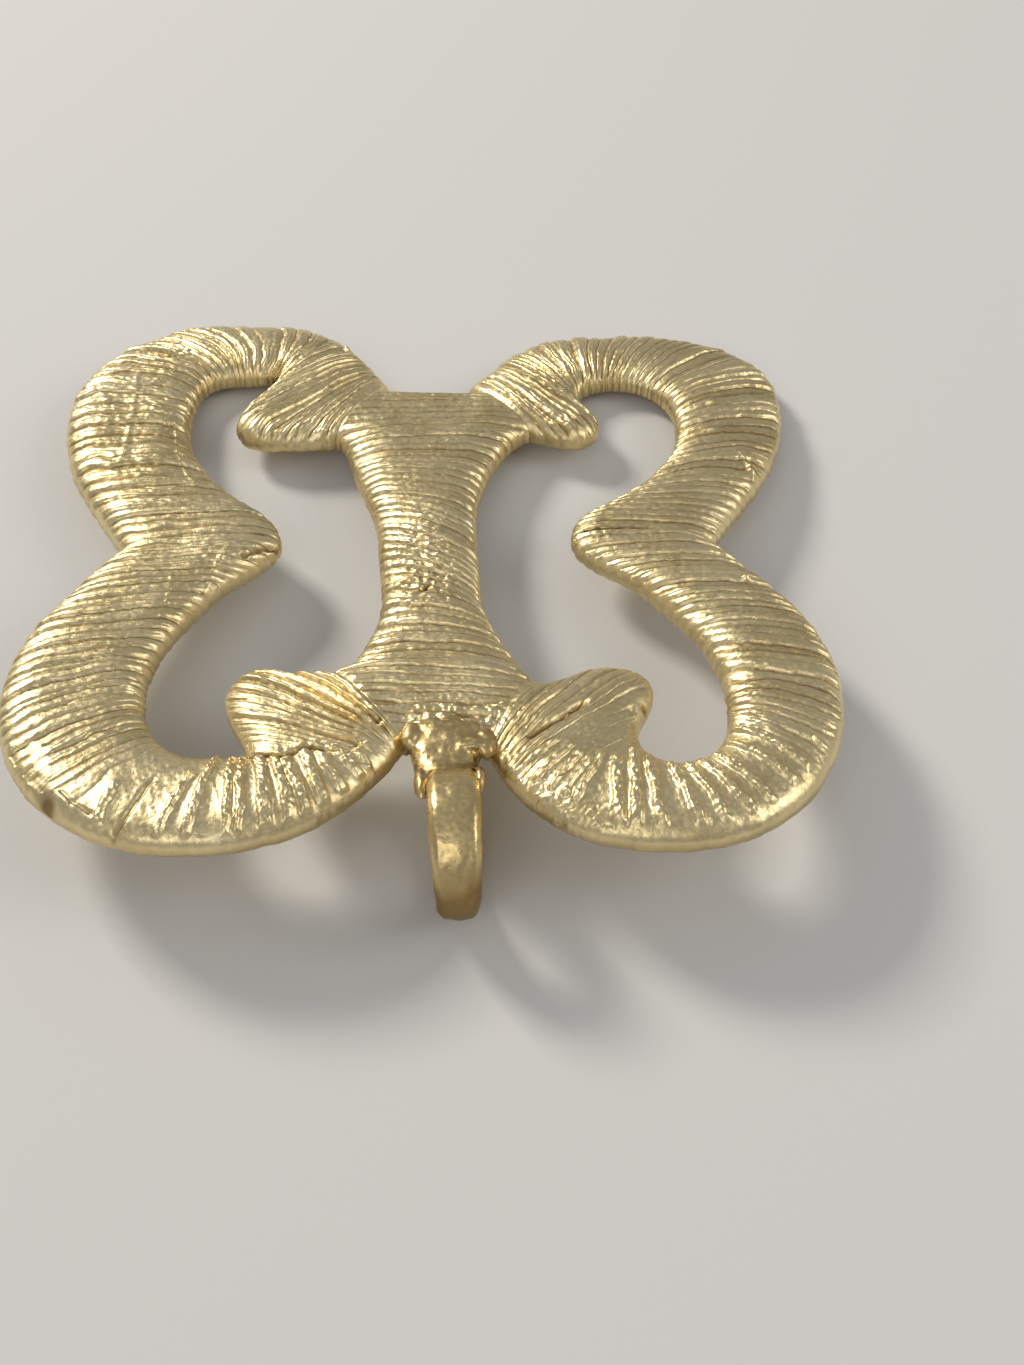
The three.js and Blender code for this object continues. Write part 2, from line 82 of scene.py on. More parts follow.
# A corner's outline points: reach from the spine's axis, distance towards its own end, edge direction.
# Its ribs are guides: outer end, inner end, ribs since the last guide, depth, share of flutes, bare rim.
CORNERS = {
    "upper_left": {
        "side": "left", "end": 1, "notch_leave": 62, "cusp_leave": 84,
        "lobe_side": (33.1, 23.0, 90), "lobe_end": (19.8, 36.7, 180), "shoulder": (7.3, 32.2, 236),
        "spine_corner": (3.4, 25.4, 244), "inner_waist": (17.9, 10.4, 54),
        "inner_side": (21.8, 21.0, 90), "inner_end": (18.3, 28.1, 180),
        "throat": (13.9, 28.8, 150), "throat_leave": 268,
        "hook_tip": (17.4, 20.2, 272), "hook_low": (13.6, 17.3, 180), "hook_root": (8.3, 17.4, 170),
        "root_leave": 215, "spine_shoulder": (6.9, 14.6, 262), "seed": 11,
        "guides": [
            ((-26.0, 2.5), (-12.6, 2.9), 0, 0.7, 0.0, 0.0),
            ((-27.7, 6.9), (-15.2, 6.4), 4, 0.8, 0.0, 0.0),
            ((-30.1, 11.0), (-18.4, 11.0), 3, 1.0, 0.0, 0.0),
            ((-32.2, 16.0), (-20.9, 15.8), 3, 1.1, 0.0, 0.0),
            ((-33.0, 21.0), (-21.8, 20.6), 3, 1.2, 0.0, 0.0),
            ((-32.6, 26.0), (-21.4, 24.6), 3, 1.2, 0.0, 0.0),
            ((-30.5, 31.0), (-20.2, 27.0), 3, 1.1, 0.0, 0.0),
            ((-27.0, 34.3), (-18.8, 28.0), 3, 1.1, 0.0, 0.0),
            ((-22.6, 36.3), (-17.2, 28.3), 3, 1.2, 0.3, 0.0),
            ((-17.4, 36.5), (-15.8, 28.5), 2, 1.5, 0.6, 0.0),
            ((-12.4, 34.9), (-14.4, 28.7), 2, 1.4, 0.5, 0.0),
            ((-7.3, 32.2), (-13.9, 28.8), 3, 1.0, 0.2, 0.0),
        ],
        "fan": 2,
        "hook_guides": [
            ((-5.6, 29.4), (-17.0, 22.0), 4, 0.9, 0.0, 0.0),
            ((-4.4, 27.2), (-14.4, 17.4), 4, 1.1, 0.0, 0.0),
            ((-3.4, 25.4), (-8.3, 17.4), 5, 1.0, 0.0, 0.0),
        ],
    },
    "upper_right": {
        "side": "right", "end": 1, "notch_leave": 56, "cusp_leave": 84,
        "lobe_side": (33.2, 21.8, 90), "lobe_end": (19.7, 32.4, 180), "shoulder": (9.2, 30.1, 222),
        "spine_corner": (4.2, 24.3, 232), "inner_waist": (17.8, 7.9, 42), "inner_side": (23.2, 18.8, 90),
        "inner_end": (17.9, 25.0, 180), "throat": (14.5, 22.8, 270), "throat_leave": 270,
        "hook_tip": (16.0, 18.3, 272), "hook_low": (13.8, 15.9, 180), "hook_root": (9.6, 17.4, 160),
        "root_leave": 205, "spine_shoulder": (6.8, 14.1, 240), "seed": 12,
        "guides": [
            ((24.0, 0.5), (12.1, 1.8), 0, 0.8, 0.0, 0.0),
            ((28.4, 6.9), (17.2, 7.6), 8, 0.8, 0.0, 0.0),
            ((30.6, 11.3), (20.4, 11.2), 4, 0.8, 0.0, 0.0),
            ((32.3, 16.8), (22.8, 16.2), 5, 0.8, 0.0, 0.0),
            ((33.0, 22.0), (23.2, 19.6), 4, 0.9, 0.0, 0.0),
            ((31.8, 27.0), (22.3, 22.4), 4, 0.9, 0.0, 0.0),
            ((28.0, 30.6), (20.6, 24.2), 4, 0.8, 0.1, 0.0),
            ((23.5, 32.1), (18.6, 25.0), 4, 0.9, 0.3, 0.0),
            ((16.6, 32.2), (16.0, 24.5), 5, 1.2, 0.3, 0.0),
            ((9.2, 30.1), (14.5, 22.8), 4, 1.1, 0.2, 0.0),
        ],
        "fan": 1,
        "hook_guides": [
            ((7.6, 28.5), (15.8, 19.4), 4, 1.2, 0.0, 0.0),
            ((5.8, 26.4), (13.6, 15.9), 4, 1.2, 0.0, 0.0),
            ((4.2, 24.3), (9.6, 17.4), 3, 0.9, 0.0, 0.0),
        ],
    },
    "lower_left": {
        "side": "left", "end": -1, "notch_leave": 58, "cusp_leave": 80,
        "lobe_side": (33.4, 14.8, 90), "lobe_end": (17.4, 30.9, 180),
        "shoulder": (4.4, CROTCH_REACH + 2.8, 232), "spine_corner": (2.5, CROTCH_REACH, 238),
        "inner_waist": (18.3, 4.2, 60), "inner_side": (22.4, 15.0, 90),
        "inner_end": (17.0, 22.4, 180), "throat": (14.2, 22.6, 180), "throat_leave": 272,
        "hook_tip": (16.1, 16.2, 272), "hook_low": (13.4, 13.4, 180), "hook_root": (8.0, 13.8, 180),
        "root_leave": 190, "spine_shoulder": (5.4, 11.0, 245), "seed": 13,
        "guides": [
            ((-26.0, 2.5), (-12.6, 2.9), 0, 0.8, 0.0, 0.0),
            ((-27.8, -0.6), (-14.9, 0.6), 3, 0.9, 0.0, 0.0),
            ((-30.0, -4.7), (-17.7, -2.4), 4, 0.9, 0.0, 0.0),
            ((-32.2, -9.0), (-20.7, -6.8), 4, 0.9, 0.0, 0.0),
            ((-33.4, -14.0), (-22.2, -11.4), 4, 0.9, 0.0, 0.0),
            ((-33.0, -18.5), (-22.4, -14.8), 4, 0.8, 0.1, 0.2),
            ((-31.3, -23.0), (-22.0, -17.8), 4, 0.8, 0.1, 0.4),
            ((-28.6, -26.8), (-20.7, -20.6), 4, 0.8, 0.4, 0.6),
            ((-25.4, -29.2), (-19.6, -21.6), 2, 0.8, 1.0, 0.5),
            ((-4.4, -24.6), (-14.2, -22.6), 9, 0.9, 1.0, 0.3),
        ],
        "fan": 3,
        "hook_guides": [
            ((-3.9, -23.8), (-15.6, -18.6), 3, 1.1, 0.2, 1.6),
            ((-3.2, -22.8), (-15.4, -14.6), 4, 1.3, 0.0, 1.4),
            ((-2.5, -21.8), (-8.0, -13.8), 5, 1.1, 0.0, 0.8),
        ],
    },
    "lower_right": {
        "side": "right", "end": -1, "notch_leave": 60, "cusp_leave": 84,
        "lobe_side": (31.4, 16.5, 90), "lobe_end": (17.8, 32.6, 180),
        "shoulder": (7.0, CROTCH_REACH + 6.6, 228), "spine_corner": (3.8, CROTCH_REACH + 0.9, 246),
        "inner_waist": (17.3, 5.0, 55), "inner_side": (22.4, 18.0, 90),
        "inner_end": (18.2, 25.0, 180), "throat": (15.1, 22.2, 270), "throat_leave": 270,
        "hook_tip": (16.8, 17.2, 272), "hook_low": (13.2, 14.5, 180),
        "hook_root": (7.6, 15.7, 200), "root_leave": 240, "spine_shoulder": (6.1, 12.5, 245), "seed": 14,
        "guides": [
            ((24.0, 0.5), (12.1, 1.8), 0, 0.8, 0.0, 0.0),
            ((25.3, -1.8), (13.9, -0.8), 3, 0.8, 0.0, 0.0),
            ((27.7, -5.4), (17.3, -4.6), 4, 0.8, 0.0, 0.0),
            ((29.9, -10.0), (20.2, -8.8), 5, 0.9, 0.0, 0.0),
            ((31.2, -15.0), (21.8, -13.0), 5, 0.9, 0.0, 0.0),
            ((31.2, -19.5), (22.4, -16.8), 4, 1.0, 0.0, 0.1),
            ((30.0, -24.2), (22.0, -20.0), 4, 1.0, 0.4, 0.6),
            ((27.4, -28.0), (21.2, -22.6), 3, 0.9, 1.0, 0.9),
            ((7.0, -28.4), (15.1, -22.2), 14, 0.9, 1.0, 0.8),
        ],
        "fan": 2,
        "hook_guides": [
            ((5.8, -26.6), (16.3, -19.4), 4, 0.8, 0.7, 0.8),
            ((4.8, -24.8), (14.8, -14.8), 5, 0.7, 0.2, 0.8),
            ((3.8, -22.7), (7.6, -15.7), 4, 0.7, 0.0, 0.3),
        ],
    },
}

# Rough ridges of the two lower fans, smooth flutes between them: points from the rim inwards, half width
RIDGES = [
    ([(-25.4, -29.2), (-24.2, -28.5), (-23.1, -25.9)], 0.2),
    ([(-20.2, -30.9), (-19.0, -28.0), (-17.8, -25.2)], 0.17),
    ([(-18.3, -31.7), (-17.7, -29.5), (-16.4, -24.0), (-16.2, -23.2)], 0.2),
    ([(-15.3, -31.8), (-15.0, -29.2), (-15.0, -24.7), (-15.0, -23.0)], 0.24),
    ([(-14.3, -31.3), (-14.1, -28.3), (-14.3, -24.4), (-14.3, -23.2)], 0.22),
    ([(-12.2, -30.2), (-12.4, -27.0), (-13.0, -23.8)], 0.46),
    ([(-10.6, -30.3), (-10.9, -27.1), (-11.8, -23.9)], 0.36),
    ([(-8.9, -30.1), (-10.0, -26.5), (-11.1, -24.0)], 0.36),
    ([(-7.5, -29.2), (-8.6, -26.6), (-9.9, -23.0)], 0.38),
    ([(-6.2, -27.4), (-7.4, -25.7), (-8.8, -22.9)], 0.3),
    ([(-5.4, -25.5), (-7.5, -23.2)], 0.2),
    ([(-4.5, -25.1), (-6.1, -22.8)], 0.16),
    ([(28.8, -22.8), (24.9, -20.7), (22.3, -19.2)], 0.26),
    ([(27.6, -24.0), (24.4, -22.5), (22.2, -21.0)], 0.26),
    ([(27.2, -27.3), (25.3, -24.9), (22.0, -22.2)], 0.3),
    ([(25.8, -28.3), (23.7, -26.0), (21.3, -23.5)], 0.34),
    ([(24.3, -30.4), (22.2, -27.7), (20.3, -24.9)], 0.34),
    ([(22.9, -31.8), (21.2, -29.1), (19.2, -25.4)], 0.36),
    ([(20.9, -33.0), (19.7, -29.8), (18.3, -26.1)], 0.32),
    ([(18.8, -33.3), (17.9, -29.5), (17.0, -26.0)], 0.32),
    ([(15.9, -33.5), (15.5, -29.8), (15.4, -25.3)], 0.32),
    ([(13.8, -32.6), (14.5, -24.4)], 0.34),
    ([(12.5, -32.2), (13.1, -25.5)], 0.4),
    ([(9.7, -29.1), (12.1, -25.0)], 0.16),
    ([(9.0, -28.3), (11.2, -25.2)], 0.16),
    ([(8.1, -27.7), (10.5, -24.8)], 0.18),
    ([(7.2, -26.7), (9.8, -24.1)], 0.2),
    ([(6.4, -25.3), (8.7, -23.5)], 0.2),
]

# Soft lumps, pits and scars: x, y, half length, half width, direction, height
MARKS = [
    (-0.3, -5.4, 0.5, 0.16, 54, -0.8),
    (-2.6, -4.6, 0.8, 0.4, 10, 0.15),
    (-2.9, -11.6, 1.2, 0.4, 5, 0.15),
    (2.7, -8.9, 1.7, 0.25, -23, 0.15),
    (-5.3, 4.6, 0.4, 0.25, 80, -0.3),
    (4.9, 4.6, 0.5, 0.25, 75, -0.3),
    (6.3, 10.3, 0.3, 0.25, 60, 0.3),
    (3.5, -19.1, 1.8, 0.2, 0, -0.3),
    (2.2, -20.2, 0.9, 0.2, 0, -0.3),
    (-3.5, -18.5, 1.5, 0.18, 2, -0.22),
    (-3.8, -17.2, 2.0, 0.15, 2, -0.15),
    (-28.1, -26.5, 0.8, 0.6, -45, -0.55),
    (-26.6, -26.9, 1.9, 0.6, -38, 0.35),
    (-4.3, -20.4, 0.25, 0.2, 0, -0.4),
    (-17.8, -25.2, 0.35, 0.3, 0, 0.3),
    (-20.6, -9.7, 0.8, 0.6, 60, 0.25),
    (-23.4, -15.2, 0.5, 0.3, 20, 0.25),
    (-29.8, -6.4, 0.5, 0.2, 10, -0.4),
    (24.3, -31.4, 0.5, 0.35, 45, -0.5),
    (28.7, 9.3, 0.5, 0.4, -60, 0.35),
    (26.1, 14.8, 1.1, 0.4, -10, 0.2),
    (26.8, 18.9, 0.6, 0.35, -20, 0.2),
    (25.7, -6.0, 0.3, 0.3, 0, 0.35),
    (15.9, -19.4, 0.25, 0.25, 90, -0.5),
    (-7.3, 30.8, 0.4, 0.3, -60, 0.5),
    (-13.7, 17.9, 0.5, 0.3, 30, 0.25),
    (-11.4, 18.2, 0.6, 0.3, 35, 0.25),
    (-9.2, 17.8, 0.5, 0.3, 40, 0.25),
]

# Places smoothed flat: x, y, half length, half width, direction
SMEARS = [
    (-26.0, -16.5, 2.2, 0.8, 10),
    (-29.0, -22.6, 2.4, 0.8, -65),
    (-14.0, -18.0, 1.6, 0.6, -10),
    (-5.0, -21.5, 1.2, 1.4, 0),
    (14.8, 16.6, 0.9, 0.9, 0),
    (21.0, -10.0, 1.2, 0.5, 0),
    (15.6, -20.0, 0.7, 2.6, 0),
]

# Coarse, blistered places: x, y, half length, half width, direction, strength
BLISTERS = [
    (5.2, -24.6, 3.0, 1.1, -65, 1.1),
    (8.2, -28.4, 3.0, 1.2, -50, 1.2),
    (11.6, -31.0, 2.4, 1.1, -22, 1.1),
    (10.9, 23.8, 3.2, 1.0, -40, 0.9),
    (11.4, 18.9, 4.2, 1.1, -45, 0.9),
    (-21.5, 26.8, 1.8, 1.3, 0, 0.9),
    (-0.5, -2.0, 3.5, 6.0, 0, 1.1),
    (0.0, -19.8, 5.0, 1.6, 0, 0.8),
    (-15.6, 0.6, 2.4, 1.0, 15, 1.0),
    (15.0, 0.8, 2.4, 0.9, 0, 0.7),
    (-18.6, -2.5, 3.0, 0.8, 80, 0.8),
    (-9.8, -23.2, 3.6, 0.9, 0, 0.9),
    (4.6, -20.4, 2.4, 1.4, 0, 0.6),
]

# Creases in the face: points along the line, width, height
CREASES = [
    ([(-16.7, 0.7), (-17.8, -1.7), (-18.5, -4.2), (-18.8, -6.0)], 0.18, 0.16),
    ([(-21.2, -2.5), (-21.3, -7.2)], 0.14, 0.08),
    ([(-27.0, -25.9), (-26.2, -26.9), (-24.7, -28.0)], 0.14, -0.3),
    ([(-23.1, -30.0), (-21.9, -28.3), (-20.5, -25.5)], 0.2, -0.3),
    ([(-13.7, -23.0), (-12.3, -23.4), (-11.3, -23.8), (-9.5, -23.0), (-8.3, -23.4)], 0.2, -0.6),
    ([(-8.3, -23.4), (-6.6, -23.7), (-5.4, -22.3)], 0.14, -0.25),
    ([(7.1, -22.6), (8.1, -21.9), (9.5, -21.0), (11.2, -19.5)], 0.28, -0.65),
    ([(14.8, -20.0), (14.6, -24.0)], 0.3, -0.14),
    ([(-27.0, 27.5), (-26.8, 20.5), (-27.0, 13.5)], 0.25, 0.08),
    ([(-22.8, 19.2), (-22.1, 14.4), (-21.1, 11.4), (-20.1, 9.5)], 0.16, 0.12),
    ([(-24.2, 29.8), (-22.3, 31.1)], 0.14, -0.16),
    ([(27.8, 11.7), (28.5, 10.0), (28.8, 8.9), (28.6, 7.0)], 0.22, 0.2),
    ([(-15.6, 0.0), (-14.2, 1.0), (-12.9, 1.8)], 0.22, -0.5),
]

# Mesh of the plate: steps along a piece and across its face and back, and the levels of its side walls
ROW_STEP = 0.115
COLUMNS = 84
EDGE_CROWDING = 0.28
BACK_COLUMNS = 12
WALL_HEIGHTS = (0.62, 0.3, 0.08)
WALL_INSETS = (-0.03, 0.0, 0.12)
BACK_INSET = 0.28

# Mesh of the bail: steps round the loop, its profile and the cradle, and the cradle's rounding and voxels
LOOP_STEPS = 260
LOOP_PROFILE_STEPS = 72
CRADLE_STEPS = 28
CRADLE_ROUNDING = 0.6
COARSE_VOXEL = 0.14
FINE_VOXEL = 0.1

# The spine's ribs: pitch, seed, where its spans end, and depth by the share of the way to its near end
SPINE_PITCH = 0.95
SPINE_SEED = 15
SPINE_SPANS = (0, 4, 11, 18, 22)
SPINE_DEPTHS = ((0, 0.6), (0.45, 0.75), (0.6, 1.1), (0.85, 1.0), (0.94, 0.6), (1, 0.0))

# Relief: a rib's thread with its lines and dots, and a fan's ridge with its flakes and scratches
THREAD_HEIGHT = 0.42
LINE_HEIGHT = 0.05
DOT_HEIGHT = 0.035
RIDGE_HEIGHT = 0.38
FLAKE_HEIGHT = 0.13
SCRATCH_HEIGHT = 0.012
RELIEF_LEVEL = 0.24
SMEAR_STRENGTH = 0.65
SWELL_HEIGHT = 0.1
SEAM_DEPTH = 0.12
SEAM_WIDTH = 0.22

# Scallops of the free edges: how near an outline an edge is free, their depth and how far in they reach
EDGE_GAP = 0.1
SCALLOP_DEPTH = 0.2
SCALLOP_REACH = 0.6

# Stain for a millimetre of pit or crease, and the stain of walls and back, which the cradle starts from
PIT_STAIN = 2.5
CREASE_STAIN = 2
BASE_STAIN = 0.25


def noise(x, y, seed):
    """Smooth noise from -1 to 1, about one bump to a unit. The seed picks the layer."""
    size = 97
    table = np.random.default_rng(seed).uniform(-1, 1, (size, size))
    column = np.floor(x).astype(int)
    row = np.floor(y).astype(int)
    across = x - column
    along = y - row
    across = across * across * (3 - 2 * across)
    along = along * along * (3 - 2 * along)
    left, right = column % size, (column + 1) % size
    below, above = row % size, (row + 1) % size
    near = table[left, below] * (1 - across) + table[right, below] * across
    far = table[left, above] * (1 - across) + table[right, above] * across
    return near * (1 - along) + far * along


def smoothstep(value, painted_shade_underside, high):
    t = np.clip((value - painted_shade_underside) / (high - painted_shade_underside), 0, 1)
    return t * t * (3 - 2 * t)


def to_plate(corner, point):
    return np.array([SIDES[corner["side"]]["sign"] * point[0], corner["end"] * point[1]])


def shared(corner, name):
    reach, height = SIDES[corner["side"]][name]
    return np.array([SIDES[corner["side"]]["sign"] * reach, height])


def heading(corner, degrees):
    angle = math.radians(degrees)
    return to_plate(corner, (math.cos(angle), math.sin(angle)))


def bend(corner, start, leave, finish, arrive, steps=80):
    """A curve that leaves its start and arrives at its finish in the directions given."""
    handle = np.linalg.norm(finish - start) * HANDLE_SHARE
    leaving = start + heading(corner, leave) * handle
    arriving = finish - heading(corner, arrive) * handle
    t = np.linspace(0, 1, steps + 1)[:, None]
    curve = (1 - t) ** 3 * start + 3 * (1 - t) ** 2 * t * leaving
    return curve + 3 * (1 - t) * t * t * arriving + t ** 3 * finish


def edge(corner, start, leave, names):
    parts = []
    for name in names:
        knot = corner[name]
        finish = to_plate(corner, knot)
        parts.append(bend(corner, start, leave, finish, knot[2]))
        start, leave = finish, knot[2]
    return np.concatenate([parts[0]] + [part[1:] for part in parts[1:]])


def length_along(points):
    return np.concatenate([[0], np.cumsum(np.linalg.norm(np.diff(points, axis=0), axis=1))])


def even(points, count):
    """The same line with count even steps."""
    along = length_along(points)
    wanted = np.linspace(0, along[-1], count + 1)
    return np.stack([np.interp(wanted, along, points[:, k]) for k in (0, 1)], 1)


def step_count(outside, inside):
    longest = max(length_along(outside)[-1], length_along(inside)[-1])
    return max(4, math.ceil(longest / ROW_STEP))


def ruled(spans):
    """Outer and inner edge points, row by row, from spans of facing edges."""
    outer, inner = [], []
    for i, (outside, inside) in enumerate(spans):
        count = step_count(outside, inside)
        first = 1 if i else 0
        outer.append(even(outside, count)[first:])
        inner.append(even(inside, count)[first:])
    return np.concatenate(outer), np.concatenate(inner)


def horn_edges(corner):
    notch, cusp = shared(corner, "notch"), shared(corner, "cusp")
    side, far = to_plate(corner, corner["lobe_side"]), to_plate(corner, corner["lobe_end"])
    inner_side, inner_far = to_plate(corner, corner["inner_side"]), to_plate(corner, corner["inner_end"])
    return [
        (
            edge(corner, notch, corner["notch_leave"], ["lobe_side"]),
            edge(corner, cusp, corner["cusp_leave"], ["inner_waist", "inner_side"]),
        ),
        (
            edge(corner, side, corner["lobe_side"][2], ["lobe_end"]),
            edge(corner, inner_side, corner["inner_side"][2], ["inner_end"]),
        ),
        (
            edge(corner, far, corner["lobe_end"][2], ["shoulder"]),
            edge(corner, inner_far, corner["inner_end"][2], ["throat"]),
        ),
    ]


def hook_edges(corner):
    shoulder, throat = to_plate(corner, corner["shoulder"]), to_plate(corner, corner["throat"])
    return [(
        edge(corner, shoulder, corner["shoulder"][2], ["spine_corner"]),
        edge(corner, throat, corner["throat_leave"], ["hook_tip", "hook_low", "hook_root"]),
    )]


def spine_side(corner):
    """The seam with the hook and the free edge down to the waist, each from the far end inwards."""
    top, root = to_plate(corner, corner["spine_corner"]), to_plate(corner, corner["hook_root"])
    seam = np.stack([top, root])
    free = edge(corner, root, corner["root_leave"], ["spine_shoulder"])
    knot = corner["spine_shoulder"]
    last = bend(corner, free[-1], knot[2], shared(corner, "waist"), 270)
    return seam, np.concatenate([free, last[1:]])


def spine_edges():
    spans = []
    for name in ("upper", "lower"):
        left = spine_side(CORNERS[name + "_left"])
        right = spine_side(CORNERS[name + "_right"])
        pairs = list(zip(left, right))
        if name == "lower":
            pairs = [(a[::-1], b[::-1]) for a, b in pairs[::-1]]
        spans += pairs
    return spans


# The plate's free outlines: the outer one and the two windows
def outline_points():
    outer = []
    windows = {"left": [], "right": []}
    for corner in CORNERS.values():
        band, hook = horn_edges(corner), hook_edges(corner)
        outer += [span[0] for span in band] + [hook[0][0]]
        windows[corner["side"]] += [span[1] for span in band] + [hook[0][1], spine_side(corner)[1]]
    far_left = to_plate(CORNERS["upper_left"], CORNERS["upper_left"]["spine_corner"])
    far_right = to_plate(CORNERS["upper_right"], CORNERS["upper_right"]["spine_corner"])
    outer.append(np.stack([far_left, far_right]))
    return [outer, windows["left"], windows["right"]]


def tree_of(lines, spacing=0.06):
    counts = [max(2, int(length_along(line)[-1] / spacing)) for line in lines]
    points = np.concatenate([even(line, count) for line, count in zip(lines, counts)])
    tree = KDTree(len(points))
    for i, (x, y) in enumerate(points):
        tree.insert((x, y, 0), i)
    tree.balance()
    return tree


OUTLINES = [tree_of(lines) for lines in outline_points()]


def distances(x, y):
    """Distance of each point to the three free outlines."""
    flat = np.stack([x.ravel(), y.ravel(), np.zeros(x.size)], 1)
    return [np.array([tree.find(p)[2] for p in flat]).reshape(x.shape) for tree in OUTLINES]


def segment_distance(x, y, start, finish):
    along = np.asarray(finish, float) - start
    share = ((x - start[0]) * along[0] + (y - start[1]) * along[1]) / (along @ along)
    share = np.clip(share, 0, 1)
    return np.hypot(x - start[0] - share * along[0], y - start[1] - share * along[1])


def line_distance(x, y, points):
    return np.min([segment_distance(x, y, a, b) for a, b in zip(points, points[1:])], axis=0)


def spot(x, y, mark):
    """1 in the middle of a mark, falling off smoothly round it."""
    angle = math.radians(mark[4])
    along = (x - mark[0]) * math.cos(angle) + (y - mark[1]) * math.sin(angle)
    across = (y - mark[1]) * math.cos(angle) - (x - mark[0]) * math.sin(angle)
    return np.exp(-((along / mark[2]) ** 2 + (across / mark[3]) ** 2))


# The seams between the spine and the hooks
SEAMS = [
    [to_plate(corner, corner[name]) for name in ("spine_corner", "hook_root")]
    for corner in CORNERS.values()
]


def row_of(points, place):
    """The row at which an edge passes nearest a place."""
    return float(np.argmin(np.hypot(points[:, 0] - place[0], points[:, 1] - place[1])))


def guide_values(outer, inner, guides, start, fan_start, fan_finish):
    """Rib numbers along both edges, and the guides' depth, flutes and rim, row by row."""
    numbers = start + np.cumsum([guide[2] for guide in guides])
    outer_rows = np.maximum.accumulate([row_of(outer, guide[0]) for guide in guides])
    inner_rows = np.maximum.accumulate([row_of(inner, guide[1]) for guide in guides])
    inner_numbers = numbers.astype(float)
    inner_numbers[0] -= fan_start
    inner_numbers[-1] -= fan_finish
    if fan_finish:
        inner_numbers = np.minimum(inner_numbers, inner_numbers[-1])
    else:
        inner_numbers = np.maximum.accumulate(inner_numbers)
    rows = np.arange(len(outer))
    at_outer = np.interp(rows, outer_rows, numbers)
    at_inner = np.interp(rows, inner_rows, inner_numbers)
    others = [np.interp(rows, outer_rows, [guide[k] for guide in guides]) for k in (3, 4, 5)]
    return at_outer, at_inner, others


def rib_walls(seed, before=10, after=90):
    """Where the grooves lie on the rib scale, and how strong each rib is."""
    rng = np.random.default_rng(seed)
    walls = np.arange(-before, after) + rng.uniform(-0.2, 0.2, before + after)
    walls[before] = 0
    return walls, rng.uniform(0.45, 1.2, before + after)


def rib_shape(number, walls, strengths):
    """Place within the rib from 0 to 1, and the rib's strength."""
    cell = np.clip(np.searchsorted(walls, number, side="right") - 1, 0, len(walls) - 2)
    place = (number - walls[cell]) / (walls[cell + 1] - walls[cell])
    return np.clip(place, 0, 1), strengths[cell]


def crown(gaps):
    height = np.ones_like(gaps[0])
    for gap in gaps:
        height = height * (1 - (1 - np.clip(gap / CROWN_REACH, 0, 1)) ** CROWN_POWER)
    return SIDE_WALL_HEIGHT + (PLATE_THICKNESS - SIDE_WALL_HEIGHT) * np.sqrt(height)


def thread_relief(x, y, along, number, walls, strengths):
    """Rounded threads between narrow grooves, with finer lines along them and rows of dots."""
    number = number + 0.16 * noise(x * 0.5, y * 0.5, 3) + 0.08 * noise(x * 1.9, y * 1.9, 4)
    along = along + 0.9 * noise(x * 0.9, y * 0.9, 25)
    place, strength = rib_shape(number, walls, strengths)
    thread = 1 - np.abs(2 * place - 1) ** 4
    patch = smoothstep(noise(x * 0.22, y * 0.22, 5), -0.4, 0.5)
    wave = number * 3 + 0.5 * noise(along * 0.3, number, 20)
    lines = np.cos(2 * math.pi * wave) * (0.4 + 0.6 * patch)
    dots = noise(along * 2.3, number * 3.4, 21) * (0.35 + 0.65 * (1 - patch))
    relief = THREAD_HEIGHT * thread * strength + (LINE_HEIGHT * lines + DOT_HEIGHT * dots) * thread
    return relief, 1 - smoothstep(thread * strength, 0.12, 0.6)


def ridge_relief(x, y):
    """The hand-laid ridges of the lower fans: a flaky crest on a broad skirt that scoops the flutes."""
    relief = np.zeros_like(x)
    crests = np.zeros_like(x)
    for i, (points, width) in enumerate(RIDGES):
        gap = line_distance(x, y, points)
        ragged = gap + 0.12 * noise(x * 1.3 + i, y * 1.3, 22) + 0.06 * noise(x * 3.1, y * 3.1 + i, 23)
        crest = 1 - smoothstep(ragged, width * 0.6, width + 0.16)
        skirt = np.exp(-(gap / (width + 0.55)) ** 2)
        relief = np.maximum(relief, RIDGE_HEIGHT * (0.62 * crest + 0.38 * skirt))
        crests = np.maximum(crests, crest)
    flakes = 0.55 * noise(x * 2.5, y * 2.5, 6) + 0.45 * noise(x * 5.2, y * 5.2, 7)
    scratches = noise(x * 4.4 + y, y * 0.6, 24)
    return relief + crests * FLAKE_HEIGHT * flakes + SCRATCH_HEIGHT * scratches * (1 - crests)


